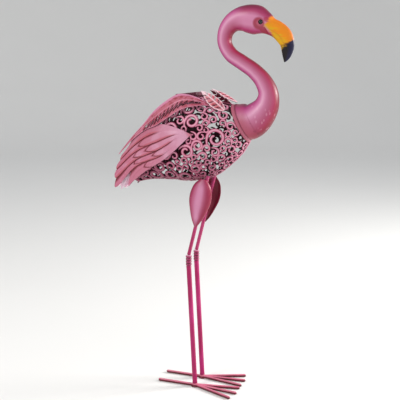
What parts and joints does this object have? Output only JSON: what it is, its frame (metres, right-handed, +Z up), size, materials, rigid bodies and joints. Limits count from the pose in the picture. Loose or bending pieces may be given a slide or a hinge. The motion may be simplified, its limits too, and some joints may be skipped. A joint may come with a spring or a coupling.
{
  "type": "solar flamingo garden light",
  "caption": "Standing flamingo garden light with a pierced scrollwork body, formed neck and head, feather wings, rod legs, flat toed feet and a small solar lamp on its back.",
  "frame": {"origin": "on the ground, at the middle of the bounding box, a few millimetres in front of the point between the two ankles", "axes": "+Z up, +X towards the beak, +Y towards the bird's left side"},
  "size_m": [0.4072, 0.1472, 0.8511],
  "materials": {
    "body": "semi-gloss dusty pink paint over pierced steel, dark red in the recesses",
    "neck": "semi-gloss deep pink paint, orange beak with a black tip",
    "eye": "glossy black",
    "wing": "semi-gloss dusty pink paint, dark red along the feather edges",
    "cover": "semi-gloss red-pink paint with a dark wash",
    "feather": "semi-gloss pale pink paint with a dark red wash",
    "tail": "semi-gloss pale pink paint",
    "thigh": "semi-gloss deep pink paint",
    "rod": "semi-gloss magenta red paint",
    "knuckle": "semi-gloss magenta red paint",
    "tube": "semi-gloss magenta red paint",
    "foot": "semi-gloss dark crimson paint",
    "housing": "dark wine plastic",
    "cell": "dark blue solar cell under clear resin",
    "lens": "clear plastic"
  },
  "bodies": {
    "root": {"body_shell": "body", "neck_and_head": "neck", "eye_left": "eye", "eye_right": "eye", "wing_left": "wing", "wing_right": "wing", "wing_cover_left": "cover", "wing_cover_right": "cover", "back_feather_left": "feather", "back_feather_right": "feather", "back_feather_middle": "feather", "tail_feathers": "tail", "thigh_left": "thigh", "thigh_right": "thigh", "upper_leg_left": "rod", "upper_leg_right": "rod", "knee_knuckle_left": "knuckle", "knee_knuckle_right": "knuckle", "lower_leg_left": "tube", "lower_leg_right": "tube", "foot_left": "foot", "foot_right": "foot", "solar_housing": "housing", "solar_panel": "cell", "lamp_lens": "lens"}
  },
  "joints": []
}
